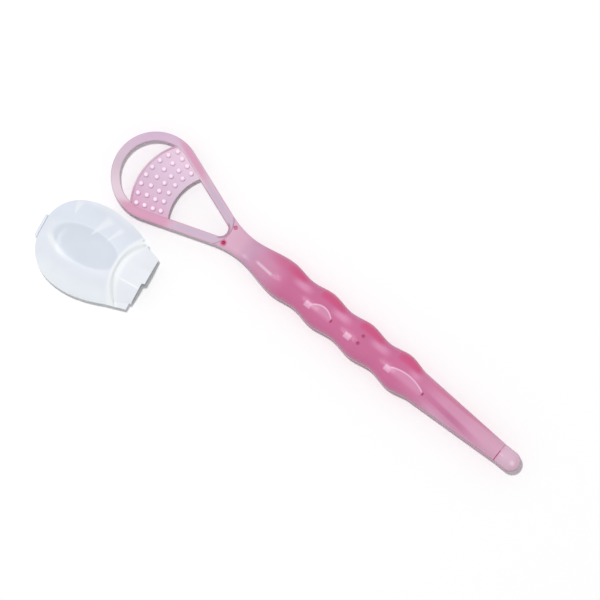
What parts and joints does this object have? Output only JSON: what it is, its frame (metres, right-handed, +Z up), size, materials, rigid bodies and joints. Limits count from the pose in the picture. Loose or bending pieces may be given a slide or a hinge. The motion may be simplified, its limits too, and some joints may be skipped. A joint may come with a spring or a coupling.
{
  "type": "tongue scraper",
  "caption": "Hand-held tongue scraper: a flat ring head with a nubbed plate across it, a slim beaded grip with a round tail, and a hinged two-shell travel cap beside the head.",
  "frame": {"origin": "centre of the head's ring, on the flat underside of the head and its plate", "axes": "+X from the head along the grip to the tail, +Y across towards the side away from the cap, +Z up out of the nubbed side"},
  "size_m": [0.176, 0.0647, 0.0091],
  "materials": {
    "grip_plastic": "clear deep-pink moulded plastic, polished",
    "head_plastic": "clear pale-pink moulded plastic, polished",
    "peg_plastic": "dark red-pink plastic",
    "pad_plastic": "soft lilac-pink plastic, satin",
    "cap_plastic": "milky translucent plastic, thin and glossy"
  },
  "bodies": {
    "scraper": {"handle": "grip_plastic", "tail_plug": "grip_plastic", "head_frame": "head_plastic", "neck_pegs": "peg_plastic", "nub_pad": "pad_plastic"},
    "cap_base": {"cap_base": "cap_plastic", "cap_hinge": "cap_plastic"},
    "cap_lid": {"cap_lid": "cap_plastic"}
  },
  "joints": [
    {"name": "cap_lift", "type": "slide", "parent": "scraper", "child": "cap_base", "axis": [0, 0, 1], "range_m": [0, 0.03]},
    {"name": "cap_lid_hinge", "type": "hinge", "parent": "cap_base", "child": "cap_lid", "pos_m": [-0.0195, -0.0366, 0.0011], "axis": [0.1719, -0.9851, 0], "range_deg": [0, 170]}
  ]
}
